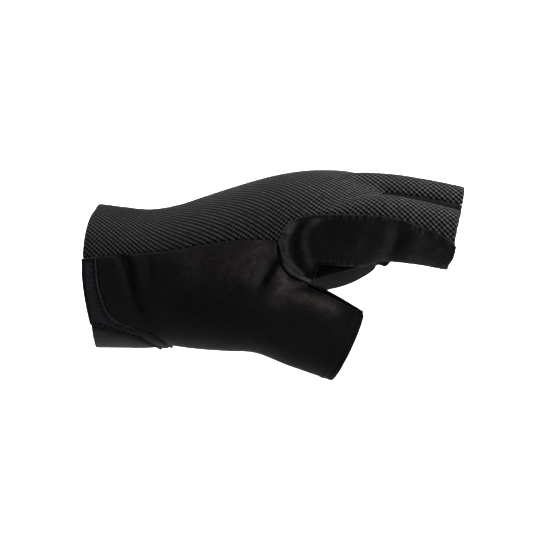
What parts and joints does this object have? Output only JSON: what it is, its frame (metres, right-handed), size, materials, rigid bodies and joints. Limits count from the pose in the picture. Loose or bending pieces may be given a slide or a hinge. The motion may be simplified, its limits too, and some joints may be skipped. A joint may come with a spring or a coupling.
{
  "type": "half-finger sport glove",
  "caption": "Left-hand half-finger glove: mesh knit back, suede palm and thumb, stretch strips between the fingers, taped slit cuff",
  "frame": {"origin": "Centre of the cuff opening, where the wrist goes in", "axes": "+X from the cuff to the fingertips, +Z out of the back of the hand, -Y towards the thumb, +Y towards the little finger"},
  "size_m": [0.1607, 0.0903, 0.0846],
  "materials": {
    "mesh_knit": "coarse black mesh knit with raised loops and small dark holes, slight sheen on the loops",
    "suede": "near-black matt synthetic suede with a short nap",
    "stretch_cloth": "smooth dark navy stretch cloth",
    "binding_tape": "smooth dark navy folded tape with a raised piping edge",
    "gusset_suede": "dark brown-black suede, a little lighter than the thumb"
  },
  "bodies": {
    "root": {"back_panel": "mesh_knit", "thumb_panel": "suede", "index_side_panel": "suede", "palm_panel": "suede", "fourchette_index_middle": "stretch_cloth", "fourchette_middle_ring": "stretch_cloth", "fourchette_ring_little": "stretch_cloth", "cuff_binding": "binding_tape", "wrist_gusset": "gusset_suede"}
  },
  "joints": []
}
